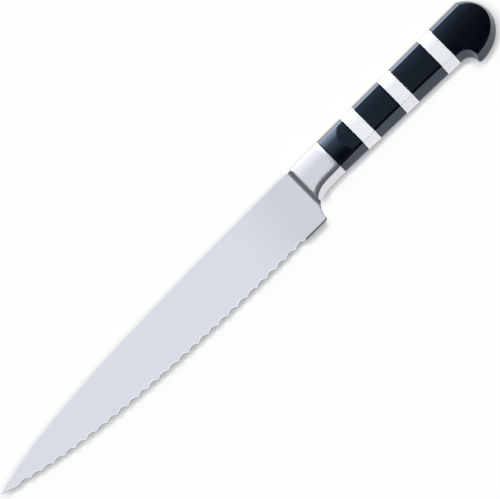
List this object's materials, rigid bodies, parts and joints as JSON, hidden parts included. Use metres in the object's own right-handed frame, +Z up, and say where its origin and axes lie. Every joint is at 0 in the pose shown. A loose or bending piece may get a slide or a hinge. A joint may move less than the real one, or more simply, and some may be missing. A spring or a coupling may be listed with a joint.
{
  "type": "serrated slicing knife",
  "caption": "Long pointed kitchen slicing knife with a scalloped edge, a forged bolster and a stacked handle of black blocks and broad steel rings, with a hooked butt.",
  "frame": {"origin": "Under the middle of the knife's box, on the surface that it lies on", "axes": "+X from the tip towards the butt, +Y from the cutting edge towards the spine, +Z up through the thickness, out of the flank that the picture shows"},
  "size_m": [0.3354, 0.0312, 0.015],
  "materials": {
    "blade_steel": "fine satin grind across the blade, brighter polish on the bolster",
    "ring_steel": "bright satin",
    "black_grip": "polished black with softly rounded edges",
    "fastener_steel": "plain turned steel, hidden inside the handle"
  },
  "bodies": {
    "root": {"forged_blade": "blade_steel", "front_grip_block": "black_grip", "front_ring": "ring_steel", "second_grip_block": "black_grip", "middle_ring": "ring_steel", "third_grip_block": "black_grip", "rear_ring": "ring_steel", "butt_block": "black_grip", "clamp_washer": "fastener_steel", "clamp_nut": "fastener_steel", "upper_dowel": "fastener_steel", "lower_dowel": "fastener_steel"}
  },
  "joints": []
}
